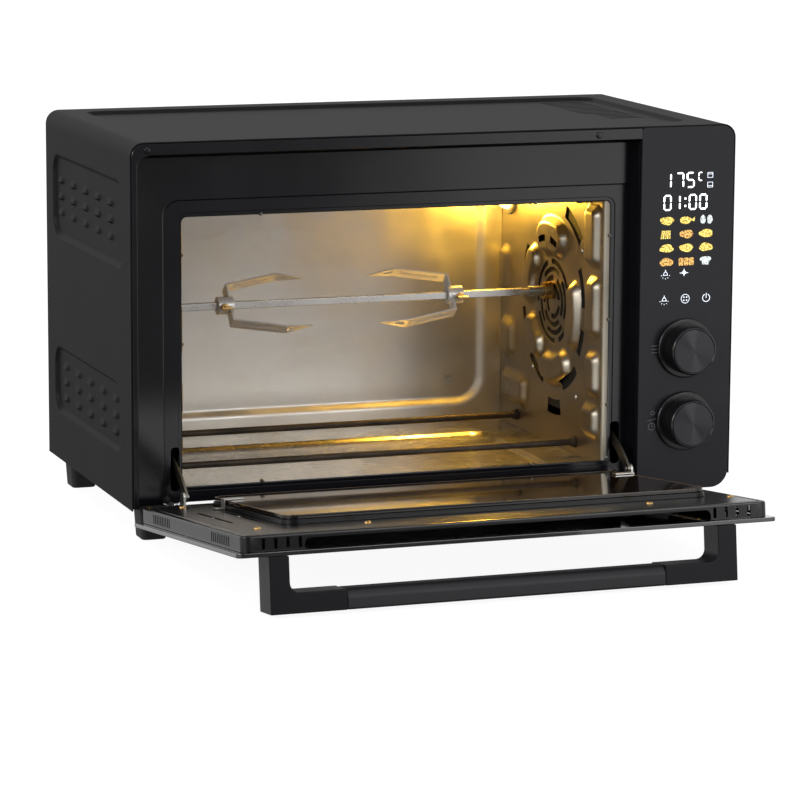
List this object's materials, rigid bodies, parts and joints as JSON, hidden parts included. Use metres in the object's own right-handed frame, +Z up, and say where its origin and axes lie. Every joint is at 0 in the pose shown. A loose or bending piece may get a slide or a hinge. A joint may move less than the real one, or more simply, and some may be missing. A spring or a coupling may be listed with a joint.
{
  "type": "rotisserie oven",
  "caption": "Countertop rotisserie oven with its door let down, a spit with sliding forks, heating tubes, a fan wheel and a control panel with turning knobs",
  "frame": {"origin": "middle of the bottom of the whole box, on the table", "axes": "+Z up, the door and knobs face -Y, +X to the right seen from the front"},
  "size_m": [0.55, 0.6122, 0.34],
  "materials": {
    "glass": "dark tinted glass",
    "black_frame": "glossy black enamel",
    "steel": "plain rolled steel sheet and rod",
    "charcoal": "satin charcoal",
    "black_steel": "matt black powder coat",
    "rubber": "black rubber",
    "ceramic": "white ceramic",
    "brass": "turned brass",
    "black_plastic": "fine-grained black moulding",
    "board": "green circuit board"
  },
  "bodies": {
    "cabinet": {"outer_cover": "black_steel", "base_pan": "black_steel", "back_cover": "black_steel", "cord_gland": "rubber", "foot_front_left": "rubber", "foot_front_right": "rubber", "foot_back_left": "rubber", "foot_back_right": "rubber", "front_frame": "black_frame", "frame_screw_left": "black_steel", "frame_screw_right": "black_steel", "cavity_left_wall": "steel", "cavity_right_wall": "steel", "cavity_floor": "steel", "cavity_ceiling": "steel", "cavity_back_wall": "steel", "heater_bottom_front": "black_steel", "heater_bottom_back": "black_steel", "heater_top_front": "black_steel", "heater_top_back": "black_steel", "lamp_lens": "glass", "lamp_bulb": "glass", "lamp_socket": "ceramic", "fan_motor": "black_steel", "motor_strap": "steel", "spit_gearmotor": "steel", "drive_bush": "brass", "spit_bracket": "steel", "control_glass": "charcoal", "control_housing": "black_plastic", "display_module": "black_plastic", "control_board": "board", "encoder_upper": "steel", "encoder_lower": "steel", "knob_ring_upper": "black_plastic", "knob_ring_lower": "black_plastic", "hinge_bracket_left": "steel", "hinge_bracket_right": "steel"},
    "door": {"door_glass": "glass", "door_frame": "black_frame", "pane_carrier": "black_frame", "inner_pane": "glass", "pane_clip_left": "steel", "pane_clip_right": "steel", "door_hinge_plate_left": "steel", "door_hinge_plate_right": "steel", "handle_end_left": "charcoal", "handle_end_right": "charcoal", "handle_grip": "charcoal"},
    "arm_left": {"hinge_arm_left": "steel"},
    "arm_right": {"hinge_arm_right": "steel"},
    "upper_knob": {"knob_upper": "black_plastic"},
    "lower_knob": {"knob_lower": "black_plastic"},
    "fan": {"fan_wheel": "steel"},
    "spit": {"spit_rod": "steel", "spit_drive": "black_steel"},
    "left_fork": {"fork_left": "steel"},
    "right_fork": {"fork_right": "steel"},
    "left_screw": {"thumb_screw_left": "brass"},
    "right_screw": {"thumb_screw_right": "brass"}
  },
  "joints": [
    {"name": "door_hinge", "type": "hinge", "parent": "cabinet", "child": "door", "pos_m": [-0.0285, 0.00273, 0.0259], "axis": [1, 0, 0], "range_deg": [-83.2, 0]},
    {"name": "arm_left_pivot", "type": "hinge", "parent": "door", "child": "arm_left", "pos_m": [-0.2304, -0.01488, 0.03948], "axis": [1, 0, 0], "range_deg": [0, 83.2]},
    {"name": "arm_right_pivot", "type": "hinge", "parent": "door", "child": "arm_right", "pos_m": [0.1734, -0.01488, 0.03948], "axis": [1, 0, 0], "range_deg": [0, 83.2]},
    {"name": "knob_upper_turn", "type": "hinge", "parent": "cabinet", "child": "upper_knob", "pos_m": [0.23, -0.01587, 0.143], "axis": [0, -1, 0], "continuous": true},
    {"name": "knob_lower_turn", "type": "hinge", "parent": "cabinet", "child": "lower_knob", "pos_m": [0.23, -0.01587, 0.078], "axis": [0, -1, 0], "continuous": true},
    {"name": "fan_spin", "type": "hinge", "parent": "cabinet", "child": "fan", "pos_m": [0.175, 0.14113, 0.1765], "axis": [1, 0, 0], "continuous": true},
    {"name": "spit_spin", "type": "hinge", "parent": "cabinet", "child": "spit", "pos_m": [-0.03, 0.14113, 0.1765], "axis": [1, 0, 0], "continuous": true},
    {"name": "fork_left_slide", "type": "slide", "parent": "spit", "child": "left_fork", "axis": [1, 0, 0], "range_m": [-0.04, 0.028]},
    {"name": "fork_right_slide", "type": "slide", "parent": "spit", "child": "right_fork", "axis": [1, 0, 0], "range_m": [-0.028, 0.045]},
    {"name": "screw_left_turn", "type": "hinge", "parent": "left_fork", "child": "left_screw", "pos_m": [-0.1515, 0.12913, 0.1765], "axis": [0, -1, 0], "range_deg": [-180, 180]},
    {"name": "screw_right_turn", "type": "hinge", "parent": "right_fork", "child": "right_screw", "pos_m": [0.0695, 0.12913, 0.1765], "axis": [0, -1, 0], "range_deg": [-180, 180]}
  ],
  "couplings": [
    {"joint": "arm_left_pivot", "follows": "door_hinge", "ratio": -1},
    {"joint": "arm_right_pivot", "follows": "door_hinge", "ratio": -1}
  ]
}
